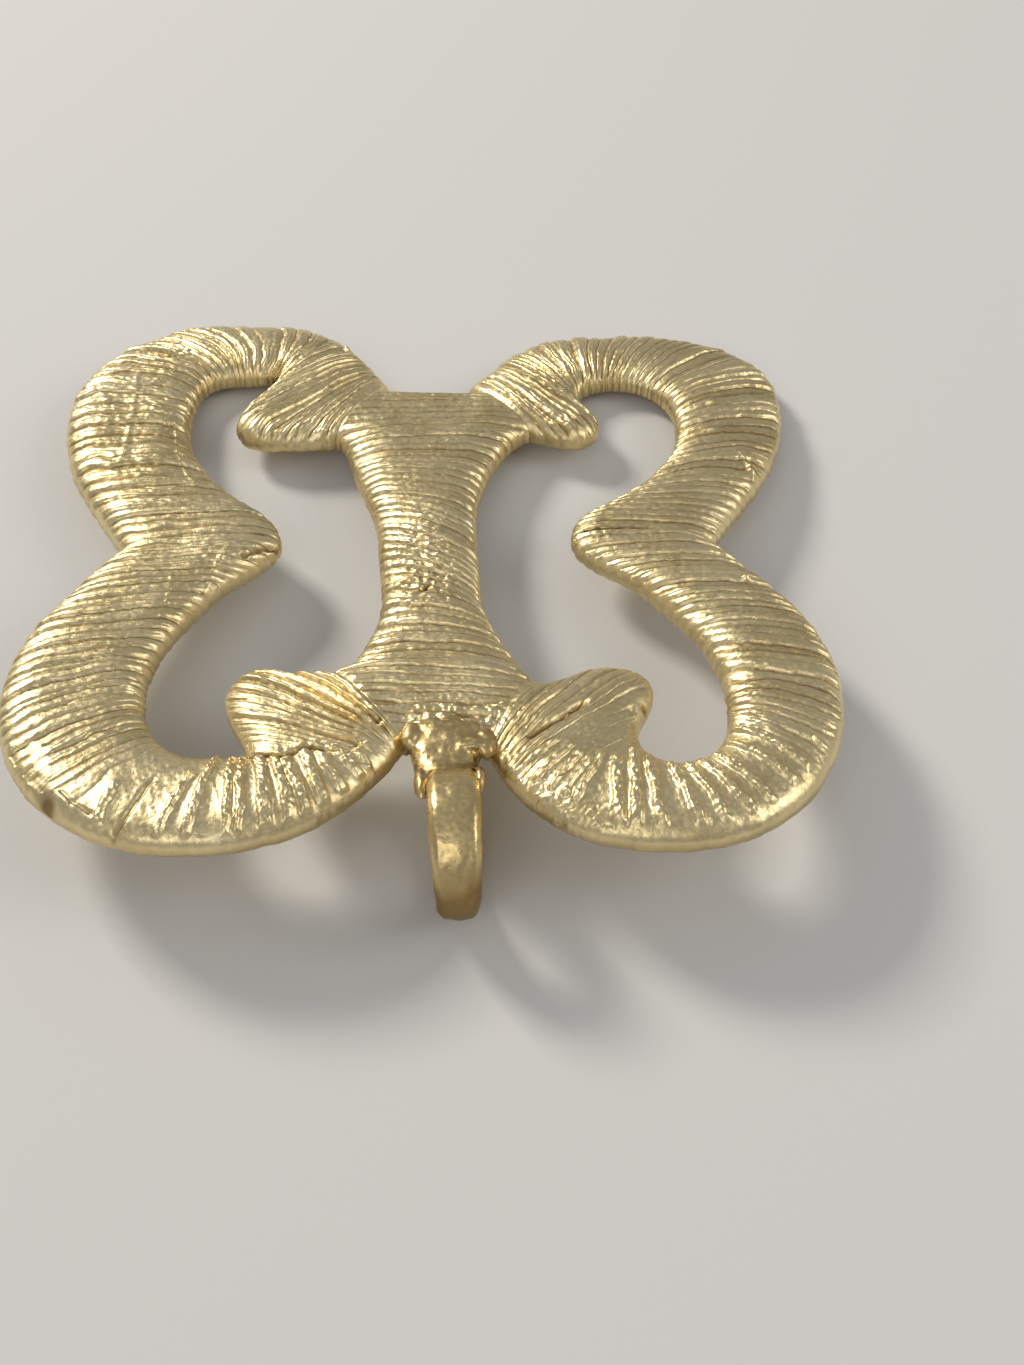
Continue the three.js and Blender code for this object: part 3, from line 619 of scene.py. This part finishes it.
def surface(x, y, along, number, values, walls, strengths, rim_gap, gaps):
    """Height of the face, and how stained each point is."""
    depth, flutes, rim = values
    gap = np.minimum(np.minimum(gaps[0], gaps[1]), gaps[2])
    threads, stain_and_painted_shade = thread_relief(x, y, along, number, walls, strengths)
    inside = smoothstep(rim_gap, 0.7 * rim, 1.3 * rim + 0.02)
    smooth = np.zeros_like(x)
    for smear in SMEARS:
        smooth = np.maximum(smooth, smoothstep(spot(x, y, smear), 0.35, 0.6))
    seam_gap = np.min([segment_distance(x, y, a, b) for a, b in SEAMS], axis=0)
    shown = inside * (1 - SMEAR_STRENGTH * smooth)
    shown = shown * smoothstep(seam_gap, 0.0, 0.45) * smoothstep(gap, 0.0, 0.5)
    relief = threads * depth * (1 - flutes) + ridge_relief(x, y) * smoothstep(flutes, 0.2, 0.8)
    height = crown(gaps) + (relief - RELIEF_LEVEL * (1 - 0.75 * flutes)) * shown
    stain_and_painted_shade = stain_and_painted_shade * shown * (1 - flutes)
    swell = SWELL_HEIGHT * noise(x * 0.33, y * 0.33, 8) * (1 - 0.6 * flutes)
    height = height + swell * smoothstep(gap, 0.2, 1.5)
    fine = 0.014 * noise(x * 3.1, y * 3.1, 9) + 0.01 * noise(x * 6.3, y * 6.3, 10)
    height = height + fine * smoothstep(gap, 0.0, 0.6)
    seam = np.exp(-(seam_gap / SEAM_WIDTH) ** 2) * smoothstep(gap, 0.2, 1.0)
    height = height - SEAM_DEPTH * seam * (0.6 + 0.6 * noise(x, y, 12))
    for mark in MARKS:
        near = spot(x, y, mark)
        height = height + mark[5] * near
        stain_and_painted_shade = np.maximum(stain_and_painted_shade, -PIT_STAIN * mark[5] * near)
    bumps = 0.08 * noise(x * 1.9, y * 1.9, 13) + 0.07 * noise(x * 4.3, y * 4.3, 14)
    for blister in BLISTERS:
        rough = spot(x, y, blister) * blister[5] * smoothstep(gap, 0.0, 0.5)
        height = height + rough * bumps
    wander = 0.8 + 0.4 * noise(x * 1.7, y * 1.7, 15)
    for points, width, rise in CREASES:
        line = np.exp(-(line_distance(x, y, points) / width) ** 2)
        height = height + rise * line * wander * smoothstep(gap, 0.0, 0.4)
        stain_and_painted_shade = np.maximum(stain_and_painted_shade, -CREASE_STAIN * rise * line)
    return height, np.clip(stain_and_painted_shade, 0, 1)


def placement():
    """Turns plate millimetres into the frame's metres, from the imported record's flat back."""
    mounts = {mount["name"]: mount for mount in frame["record"]["mounts"]}
    back = mounts["back_face"]
    normal = -Vector(back["axis"])
    turn = Vector((0, 0, 1)).rotation_difference(normal.normalized()).to_matrix().to_4x4()
    return Matrix.Translation(back["pos_m"]) @ turn @ Matrix.Scale(MM, 4)


PLACE = placement()


# The stain attribute holds patina in hollows, walls and back, and on the bail loop also painted shade
def set_stain_and_painted_shade(mesh, stain_and_painted_shade):
    layer = mesh.attributes.new("stain_and_painted_shade", "FLOAT", "POINT")
    layer.data.foreach_set("value", np.asarray(stain_and_painted_shade, np.float32))


def smooth_faces(mesh):
    mesh.polygons.foreach_set("use_smooth", np.ones(len(mesh.polygons), bool))


def add_piece(name, points, faces, node, material):
    mesh = bpy.data.meshes.new(name)
    mesh.from_pydata(points.tolist(), [], faces)
    shape = bmesh.new()
    shape.from_mesh(mesh)
    bmesh.ops.recalc_face_normals(shape, faces=shape.faces)
    shape.to_mesh(mesh)
    shape.free()
    smooth_faces(mesh)
    mesh.transform(PLACE)
    mesh.materials.append(material)
    piece = bpy.data.objects.new(name, mesh)
    bpy.context.scene.collection.objects.link(piece)
    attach(piece, "root")
    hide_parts(node)
    return piece


def plate_piece(name, outer, inner, bow, numbers, values, seed, rim_side, material, crowning=1.0):
    """A closed cast piece over rows from the outer to the inner edge."""
    values = [value[:, None] for value in values]
    share = np.linspace(0, 1, COLUMNS + 1)
    share = (1 - EDGE_CROWDING) * share + EDGE_CROWDING * (1 - np.cos(math.pi * share)) / 2
    v = share[None, :]
    x = outer[:, :1] * (1 - v) + inner[:, :1] * v
    y = outer[:, 1:] * (1 - v) + inner[:, 1:] * v + 4 * bow[:, None] * v * (1 - v)
    width = np.hypot(inner[:, 0] - outer[:, 0], inner[:, 1] - outer[:, 1])[:, None]
    along_x = (inner[:, :1] - outer[:, :1]) / width
    along_y = (inner[:, 1:] - outer[:, 1:]) / width
    gaps = distances(x, y)
    rim_gap = gaps[0] if rim_side == "outer" else np.minimum(gaps[1], gaps[2])
    walls, strengths = rib_walls(seed)
    number = numbers(v)
    height, stain_and_painted_shade = surface(x, y, v * width, number, values, walls, strengths, rim_gap, gaps)
    height = SIDE_WALL_HEIGHT + (height - SIDE_WALL_HEIGHT) * crowning

    # The edges are scalloped by the ribs and a little ragged
    ends = [0, -1]
    edge_x, edge_y = x[:, ends], y[:, ends]
    place, strength = rib_shape(number[:, ends], walls, strengths)
    free = np.minimum(np.minimum(gaps[0], gaps[1]), gaps[2])[:, ends] < EDGE_GAP
    bare = np.maximum(values[1], smoothstep(values[2], 0.1, 0.4))
    scallop = (0.4 - np.abs(2 * place - 1) ** 2) * SCALLOP_DEPTH * strength * (1 - bare)
    ragged = 0.06 * noise(edge_x * 0.8, edge_y * 0.8, 16) + 0.035 * noise(edge_x * 2.6, edge_y * 2.6, 26)
    push = (scallop + ragged) * free
    near_outer = np.exp(-(v * width / SCALLOP_REACH) ** 2)
    near_inner = np.exp(-((1 - v) * width / SCALLOP_REACH) ** 2)
    push = push[:, 1:] * near_inner - push[:, :1] * near_outer
    x = x + along_x * push
    y = y + along_y * push
    rows = len(outer)

    def wall(column, direction, order):
        points = []
        for k in order:
            inset = WALL_INSETS[k] + 0.05 * noise(x[:, column] * 0.7, y[:, column] * 0.7 + k, 17)
            inset = inset * free[:, 0 if column == 0 else 1]
            points.append(np.stack([
                x[:, column] + direction * along_x[:, 0] * inset,
                y[:, column] + direction * along_y[:, 0] * inset,
                np.full(rows, WALL_HEIGHTS[k]),
            ], 1))
        return np.stack(points, 1)

    # The back is flat apart from a slight waviness
    steps = np.concatenate([along_x, along_y], 1)
    near = np.stack([x[:, 0], y[:, 0]], 1) + steps * (BACK_INSET * free[:, :1])
    far = np.stack([x[:, -1], y[:, -1]], 1) - steps * (BACK_INSET * free[:, 1:])
    w = np.linspace(1, 0, BACK_COLUMNS + 1)[None, :, None]
    under = near[:, None, :] * (1 - w) + far[:, None, :] * w
    under[:, :, 1] += 4 * bow[:, None] * w[:, :, 0] * (1 - w[:, :, 0])
    sag = 0.03 + 0.03 * noise(under[:, :, 0] * 0.5, under[:, :, 1] * 0.5, 18)
    sag = sag + 0.015 * noise(under[:, :, 0] * 1.3, under[:, :, 1] * 1.3, 19)

    points = np.concatenate([
        np.stack([x, y, height], 2),
        wall(-1, -1, range(len(WALL_HEIGHTS))),
        np.concatenate([under, np.maximum(sag, 0)[:, :, None]], 2),
        wall(0, 1, range(len(WALL_HEIGHTS) - 1, -1, -1)),
    ], 1)
    ring = points.shape[1]
    here = (np.arange(rows - 1)[:, None] * ring + np.arange(ring)[None, :]).ravel()
    beside = (np.arange(rows - 1)[:, None] * ring + (np.arange(ring)[None, :] + 1) % ring).ravel()
    faces = np.stack([here, beside, beside + ring, here + ring], 1).tolist()
    faces.append(list(range(ring))[::-1])
    faces.append([(rows - 1) * ring + k for k in range(ring)])
    piece = add_piece(name + "_cast", points.reshape(-1, 3), faces, name, material)
    rest = np.full((rows, ring - COLUMNS - 1), BASE_STAIN)
    set_stain_and_painted_shade(piece.data, np.concatenate([stain_and_painted_shade, rest], 1).ravel())


def blend(at_outer, at_inner):
    return lambda v: at_outer[:, None] * (1 - v) + at_inner[:, None] * v


def build_horns(material):
    """Each corner's horn and hook, whose ribs count on from the one into the other."""
    for name, corner in CORNERS.items():
        total = sum(guide[2] for guide in corner["guides"])
        first = (to_plate(corner, corner["shoulder"]), to_plate(corner, corner["throat"]), 0)
        hook_guides = [first + corner["guides"][-1][3:]] + corner["hook_guides"]
        pieces = [
            ("_horn", horn_edges(corner), corner["guides"], (0, 0, corner["fan"])),
            ("_hook", hook_edges(corner), hook_guides, (total, corner["fan"], 0)),
        ]
        for ending, spans, guides, counts in pieces:
            outer, inner = ruled(spans)
            at_outer, at_inner, values = guide_values(outer, inner, guides, *counts)
            numbers = blend(at_outer, at_inner)
            straight = np.zeros(len(outer))
            seed = corner["seed"]
            plate_piece(name + ending, outer, inner, straight, numbers, values, seed, "outer", material)


def build_spine(material):
    """The spine: its rows bow more and more towards the near end, while its ribs arch only slightly."""
    spans = spine_edges()
    outer, inner = ruled(spans)
    counts = [step_count(outside, inside) for outside, inside in spans]
    span_rows = np.concatenate([[0], np.cumsum(counts)])
    progress = np.interp(np.arange(len(outer)), span_rows, SPINE_SPANS) / SPINE_SPANS[-1]
    bow = ROOT_HOLLOW * progress ** 2
    middle = (outer[:, 1] + inner[:, 1]) / 2
    number = -(middle - middle[0]) / SPINE_PITCH
    depth = np.interp(progress, *zip(*SPINE_DEPTHS))
    values = [depth, np.zeros(len(outer)), np.zeros(len(outer))]
    arch = (0.25 - bow / SPINE_PITCH)[:, None]
    crowning = (0.3 + 0.7 * smoothstep(progress, 0.0, 0.06))[:, None]

    def numbers(v):
        return number[:, None] + arch * 4 * v * (1 - v)

    plate_piece("spine", outer, inner, bow, numbers, values, SPINE_SEED, "inner", material, crowning)


def build_loop(material):
    """The bail loop's bevelled strip, swept round its ring, with random stain patches and painted shade
    on its lower near side.
    """
    around, across = LOOP_STEPS, LOOP_PROFILE_STEPS
    angle = np.linspace(0, 2 * math.pi, around, endpoint=False)[:, None]
    half = LOOP_WIDTH / 2
    inside = LOOP_RADIUS - LOOP_THICKNESS
    face = LOOP_RADIUS - LOOP_RIDGE
    lower = inside + LOOP_BEVEL / 2
    upper = face - LOOP_BEVEL
    profile = np.array([
        (-half, lower), (-half, upper), (LOOP_BEVEL - half, face), (0, LOOP_RADIUS),
        (half - LOOP_BEVEL, face), (half, upper), (half, lower),
        (half - LOOP_BEVEL / 2, inside), (LOOP_BEVEL / 2 - half, inside), (-half, lower),
    ])
    profile = even(profile, across)[:-1]
    for _ in range(2):
        profile = (np.roll(profile, 1, 0) + 2 * profile + np.roll(profile, -1, 0)) / 4
    narrowing = 1 - LOOP_NARROWING / LOOP_WIDTH * (1 - np.sin(angle)) / 2
    turn = np.arange(across)[None, :] * 0.12
    flow = angle * LOOP_RADIUS + 50
    x = profile[None, :, 0] * narrowing + 0.06 * noise(flow * 0.6, 3.5, 23)
    radius = profile[None, :, 1] + 0.06 * noise(flow * 0.45, turn * 0.7, 27)
    radius = radius + 0.03 * noise(flow * 1.7, turn * 2, 28) + 0.012 * noise(flow * 5, turn * 6, 29)
    points = np.stack([
        LOOP_OFFSET + x,
        -LOOP_REACH + radius * np.cos(angle),
        LOOP_RISE + radius * np.sin(angle),
    ], 2).reshape(-1, 3)
    i, j = np.meshgrid(np.arange(around), np.arange(across), indexing="ij")
    k, n = (j + 1) % across, (i + 1) % around
    quads = [i * across + j, i * across + k, n * across + k, n * across + j]
    faces = np.stack(quads, 2).reshape(-1, 4).tolist()
    patches = 0.3 * smoothstep(noise(flow * 0.35, turn * 0.5, 24), 0, 0.6)
    # Painted shade and dark reflection: the lower near side of the loop is darkened towards the stain
    # colour, on top of its random stain patches
    painted_shade_underside = smoothstep(angle, 2.5, 3.2) * (1 - smoothstep(angle, 4.4, 5.2))
    stain_and_painted_shade = np.clip(patches + painted_shade_underside, 0, 1)
    piece = add_piece("bail_loop_cast", points, faces, "bail_loop", material)
    set_stain_and_painted_shade(piece.data, stain_and_painted_shade.ravel())


# The cradle's sections from its root in the spine to the tips of its ears: y, from x, to x, from z, to z
CRADLE_SECTIONS = [
    (-19.6, -1.4, 2.8, 0.3, 2.3),
    (-21.0, -2.1, 3.6, 0.0, 2.6),
    (-22.4, -2.0, 3.5, -0.5, 2.5),
    (-23.5, -1.75, 3.0, -1.0, 2.35),
    (-24.4, -1.7, 2.95, -1.6, 2.2),
    (-25.3, -1.8, 3.3, -2.0, 2.2),
    (-26.4, -1.8, 3.45, -2.3, 1.8),
    (-27.6, -1.5, 3.3, -2.2, 0.9),
    (-28.9, -1.1, 2.6, -1.7, 0.0),
]

# Lumps pressed onto the cradle: centre, half sizes
CRADLE_LUMPS = [
    ((-1.9, -21.5, 1.9), (0.8, 1.2, 0.8)),
    ((3.7, -22.5, 1.7), (0.9, 1.5, 0.8)),
    ((2.6, -22.9, 2.35), (1.2, 0.6, 0.25)),
    ((-1.2, -26.0, 1.2), (0.6, 1.6, 1.0)),
    ((3.1, -25.8, 1.2), (0.42, 1.3, 1.0)),
]


def cradle_block():
    """Rounded sections joined into one skin, with the lumps as closed bodies of their own."""
    around = CRADLE_STEPS
    shape = bmesh.new()
    turn = np.linspace(0, 2 * math.pi, around, endpoint=False)
    across = np.sign(np.cos(turn)) * np.abs(np.cos(turn)) ** CRADLE_ROUNDING
    upright = np.sign(np.sin(turn)) * np.abs(np.sin(turn)) ** CRADLE_ROUNDING
    rings = []
    for y, from_x, to_x, from_z, to_z in CRADLE_SECTIONS:
        xs = (from_x + to_x) / 2 + across * (to_x - from_x) / 2
        zs = (from_z + to_z) / 2 + upright * (to_z - from_z) / 2
        rings.append([shape.verts.new((x, y, z)) for x, z in zip(xs, zs)])
    for ring, following in zip(rings, rings[1:]):
        for j in range(around):
            k = (j + 1) % around
            shape.faces.new((ring[j], ring[k], following[k], following[j]))
    shape.faces.new(rings[0][::-1])
    shape.faces.new(rings[-1])
    for centre, half in CRADLE_LUMPS:
        spread = Matrix.Translation(centre) @ Matrix.Diagonal((*half, 1))
        bmesh.ops.create_icosphere(shape, subdivisions=3, radius=1, matrix=spread)
    points = np.array([vertex.co for vertex in shape.verts])
    shape.verts.index_update()
    faces = [[vertex.index for vertex in face.verts] for face in shape.faces]
    shape.free()
    return points, faces


def cross_cylinder(radius, from_x, to_x):
    shape = bmesh.new()
    depth = to_x - from_x
    bmesh.ops.create_cone(shape, cap_ends=True, segments=96, radius1=radius, radius2=radius, depth=depth)
    mesh = bpy.data.meshes.new("cutter")
    shape.to_mesh(mesh)
    shape.free()
    centre = Vector(((from_x + to_x) / 2, -LOOP_REACH, LOOP_RISE))
    mesh.transform(PLACE @ Matrix.Translation(centre) @ Matrix.Rotation(math.pi / 2, 4, "Y"))
    cutter = bpy.data.objects.new("cutter", mesh)
    bpy.context.scene.collection.objects.link(cutter)
    return cutter


def build_cradle(material):
    """The neck and its two ears: melted into one lump, hollowed for the loop and weathered."""
    points, faces = cradle_block()
    piece = add_piece("bail_cradle_cast", points, faces, "bail_cradle", material)
    left = LOOP_OFFSET - LOOP_WIDTH / 2
    right = LOOP_OFFSET + LOOP_WIDTH / 2
    cutters = [
        cross_cylinder(LOOP_RADIUS - RIM_SINK, left + SIDE_SINK, right - SIDE_SINK),
        cross_cylinder(LOOP_RADIUS - LOOP_THICKNESS, -THROUGH_REACH, THROUGH_REACH),
    ]

    def melt(size):
        change = piece.modifiers.new("melt", "REMESH")
        change.mode = "VOXEL"
        change.voxel_size = size * MM

    melt(COARSE_VOXEL)
    for cutter in cutters:
        cut = piece.modifiers.new("cut", "BOOLEAN")
        cut.operation = "DIFFERENCE"
        cut.object = cutter
    melt(FINE_VOXEL)
    soften = piece.modifiers.new("soften", "SMOOTH")
    soften.factor = 0.5
    soften.iterations = 4
    bpy.context.view_layer.update()
    mesh = bpy.data.meshes.new_from_object(piece.evaluated_get(bpy.context.evaluated_depsgraph_get()))
    piece.modifiers.clear()
    piece.data = mesh
    for cutter in cutters:
        bpy.data.objects.remove(cutter)
    inverse = PLACE.inverted()
    spots = np.array([inverse @ vertex.co for vertex in mesh.vertices])
    normals = np.array([vertex.normal for vertex in mesh.vertices])
    x, y, z = spots.T
    rough = 0.07 * noise(x * 0.9 + 40, (y + z) * 0.9 + 40, 31)
    rough = rough + 0.035 * noise(x * 2.4 + 40, (y - z) * 2.4 + 80, 32)
    rough = rough + 0.012 * noise(x * 5.5 + 40, (y + z) * 5.5 + 80, 33)
    places = np.array([vertex.co for vertex in mesh.vertices]) + normals * (rough * MM)[:, None]
    mesh.vertices.foreach_set("co", places.ravel())
    pocket = np.abs(np.hypot(y + LOOP_REACH, z - LOOP_RISE) - LOOP_RADIUS) < 0.25
    set_stain_and_painted_shade(mesh, np.clip(BASE_STAIN - rough * 3 + 0.5 * pocket, 0, 1))
    smooth_faces(mesh)
    mesh.update()


# Sockets of a Mix node that mixes colours
MIX_FACTOR, MIX_FIRST, MIX_SECOND, MIX_RESULT = 0, 6, 7, 2

# Depth of the metal's specks and of its finer grain, in metres
SPECK_DEPTH = 0.00009
GRAIN_DEPTH = 0.00003


def brass(name, light, dull, stain_and_shade_colour, roughness, stain_and_shade_strength, grain_strength):
    """Cast brass: bright on the ridges, brown where stained and where shade is painted on the bail loop,
    with patchy polish and a fine grain.
    """
    material = bpy.data.materials.new(name)
    material.use_nodes = True
    nodes, links = material.node_tree.nodes, material.node_tree.links
    shader = nodes["Principled BSDF"]
    shader.inputs["Metallic"].default_value = 1.0

    def add(kind, **settings):
        node = nodes.new(kind)
        for key, value in settings.items():
            setattr(node, key, value)
        return node

    place = add("ShaderNodeTexCoord")

    def texture(scale, detail):
        node = add("ShaderNodeTexNoise")
        node.inputs["Scale"].default_value = scale
        node.inputs["Detail"].default_value = detail
        links.new(place.outputs["Object"], node.inputs["Vector"])
        return node

    def spread(node, painted_shade_underside, high, to_low=0.0, to_high=1.0):
        ranged = add("ShaderNodeMapRange")
        ranged.inputs["From Min"].default_value = painted_shade_underside
        ranged.inputs["From Max"].default_value = high
        ranged.inputs["To Min"].default_value = to_low
        ranged.inputs["To Max"].default_value = to_high
        links.new(node.outputs["Fac"], ranged.inputs["Value"])
        return ranged

    def mix(factor, first, second):
        node = add("ShaderNodeMix", data_type="RGBA")
        links.new(factor.outputs[0], node.inputs[MIX_FACTOR])
        if isinstance(first, tuple):
            node.inputs[MIX_FIRST].default_value = (*first, 1)
        else:
            links.new(first.outputs[MIX_RESULT], node.inputs[MIX_FIRST])
        node.inputs[MIX_SECOND].default_value = (*second, 1)
        return node

    def bump(height, depth):
        node = add("ShaderNodeBump")
        node.inputs["Strength"].default_value = grain_strength
        node.inputs["Distance"].default_value = depth
        links.new(height.outputs["Fac"], node.inputs["Height"])
        return node

    # The stain attribute mixes in the dark stain colour: patina in the hollows, and painted shade on the
    # bail loop's lower side
    attribute = add("ShaderNodeAttribute", attribute_name="stain_and_painted_shade")
    speck = texture(2600.0, 3.0)
    cover = add("ShaderNodeMath", operation="MULTIPLY")
    cover.inputs[1].default_value = stain_and_shade_strength
    links.new(attribute.outputs["Fac"], cover.inputs[0])
    tone = mix(spread(texture(230.0, 4.0), 0.38, 0.64), light, dull)
    freckled = mix(spread(texture(1500.0, 2.0), 0.68, 0.8, 0.0, 0.45), tone, stain_and_shade_colour)
    stain_and_painted_shade = mix(cover, freckled, stain_and_shade_colour)
    links.new(stain_and_painted_shade.outputs[MIX_RESULT], shader.inputs["Base Color"])
    matt = spread(speck, 0.3, 0.7, roughness - 0.1, roughness + 0.1)
    tarnish = add("ShaderNodeMath", operation="MULTIPLY_ADD")
    tarnish.inputs[1].default_value = 0.2
    links.new(attribute.outputs["Fac"], tarnish.inputs[0])
    links.new(matt.outputs["Result"], tarnish.inputs[2])
    links.new(tarnish.outputs["Value"], shader.inputs["Roughness"])
    coarse = bump(speck, SPECK_DEPTH)
    grain = bump(texture(9000.0, 2.0), GRAIN_DEPTH)
    links.new(coarse.outputs["Normal"], grain.inputs["Normal"])
    links.new(grain.outputs["Normal"], shader.inputs["Normal"])
    return material


def build_floor():
    shape = bmesh.new()
    bmesh.ops.create_grid(shape, x_segments=1, y_segments=1, size=1.5)
    mesh = bpy.data.meshes.new("floor")
    shape.to_mesh(mesh)
    shape.free()
    floor = bpy.data.objects.new("floor", mesh)
    bpy.context.scene.collection.objects.link(floor)
    material = bpy.data.materials.new("floor_paint")
    material.use_nodes = True
    shader = material.node_tree.nodes["Principled BSDF"]
    shader.inputs["Base Color"].default_value = (0.72, 0.71, 0.69, 1)
    shader.inputs["Roughness"].default_value = 0.9
    mesh.materials.append(material)


def add_lamp(name, place, size, watts, colour):
    light = bpy.data.lights.new(name, "AREA")
    light.size = size
    light.energy = watts
    light.color = colour
    lamp = bpy.data.objects.new(name, light)
    lamp.location = place
    lamp.rotation_euler = (Vector((0, 0, 0)) - Vector(place)).to_track_quat("-Z", "Y").to_euler()
    bpy.context.scene.collection.objects.link(lamp)


def build_light():
    add_lamp("key", (-0.4, 0.4, 0.42), 0.16, 3.1, (1.0, 0.95, 0.86))
    add_lamp("side", (0.5, -0.1, 0.35), 0.3, 0.8, (1.0, 0.97, 0.92))
    add_lamp("front", (-0.2, -0.5, 0.5), 0.4, 0.7, (1.0, 0.98, 0.95))
    world = bpy.data.worlds.new("studio")
    world.use_nodes = True
    background = world.node_tree.nodes["Background"]
    background.inputs["Color"].default_value = (0.95, 0.96, 1.0, 1)
    background.inputs["Strength"].default_value = 0.32
    bpy.context.scene.world = world


# The camera stands where the photograph was taken from, in the plate's own axes
CAMERA_PLACE = (1.0, -107.63, 89.83)
CAMERA_HEADING = 3.11
CAMERA_PITCH = 43.87
CAMERA_ROLL = -0.34
FOCAL_PIXELS = 1650
LONG_SIDE_PIXELS = 1365
SENSOR = 36.0


def build_camera():
    lens = bpy.data.cameras.new("camera")
    lens.sensor_width = SENSOR
    lens.lens = SENSOR * FOCAL_PIXELS / LONG_SIDE_PIXELS
    lens.clip_start = 0.005
    camera = bpy.data.objects.new("camera", lens)
    bpy.context.scene.collection.objects.link(camera)
    turn = (
        Matrix.Rotation(-math.radians(CAMERA_HEADING), 4, "Z")
        @ Matrix.Rotation(math.radians(90 - CAMERA_PITCH), 4, "X")
        @ Matrix.Rotation(math.radians(CAMERA_ROLL), 4, "Z")
    )
    stand = PLACE @ Matrix.Translation(CAMERA_PLACE) @ turn
    camera.matrix_world = Matrix.LocRotScale(stand.to_translation(), stand.to_quaternion(), None)
    bpy.context.scene.camera = camera


RIBBED = brass(
    "ribbed_brass", light=(0.87, 0.73, 0.42), dull=(0.75, 0.61, 0.32), stain_and_shade_colour=(0.24, 0.15, 0.05),
    roughness=0.37, stain_and_shade_strength=0.85, grain_strength=0.35,
)
BAIL = brass(
    "bail_brass", light=(0.8, 0.63, 0.31), dull=(0.66, 0.5, 0.23), stain_and_shade_colour=(0.22, 0.13, 0.04),
    roughness=0.32, stain_and_shade_strength=0.8, grain_strength=0.25,
)

build_horns(RIBBED)
build_spine(RIBBED)
build_loop(BAIL)
build_cradle(BAIL)
build_floor()
build_light()
build_camera()
bpy.context.scene.view_settings.view_transform = "Standard"
